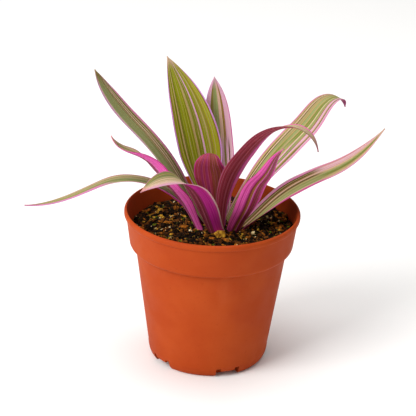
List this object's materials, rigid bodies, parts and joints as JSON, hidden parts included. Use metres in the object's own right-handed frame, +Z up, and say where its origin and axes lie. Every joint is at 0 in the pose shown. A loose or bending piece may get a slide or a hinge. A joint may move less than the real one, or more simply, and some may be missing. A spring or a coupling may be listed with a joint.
{
  "type": "potted tradescantia",
  "caption": "Small house plant: a loose rosette of long striped strap leaves standing in bark soil, in a round tapered nursery pot with a rolled lip, a rim band and drainage gaps in its foot.",
  "frame": {"origin": "middle of the pot's flat underside", "axes": "+Z up along the pot's axis; +X to the side of the lowest right leaf, along the plant's widest spread; +Y away from the side on which the short arched leaf hangs"},
  "size_m": [0.2196, 0.132, 0.1786],
  "materials": {
    "pot_plastic": "satin moulded plastic, terracotta orange",
    "potting_soil": "rough damp bark and peat mix",
    "plant_stem": "matt, fleshy",
    "leaf_blade": "satin leaf: striped olive, cream and pink above, purple below"
  },
  "bodies": {
    "root": {"pot": "pot_plastic", "soil": "potting_soil", "stem": "plant_stem", "leaf_left_tall": "leaf_blade", "leaf_left_curled": "leaf_blade", "leaf_left_trailing": "leaf_blade", "leaf_front_arched": "leaf_blade", "leaf_back_broad": "leaf_blade", "leaf_centre_short": "leaf_blade", "leaf_back_narrow": "leaf_blade", "leaf_right_hooked": "leaf_blade", "leaf_right_broad": "leaf_blade", "leaf_front_upright": "leaf_blade", "leaf_right_low": "leaf_blade"}
  },
  "joints": []
}
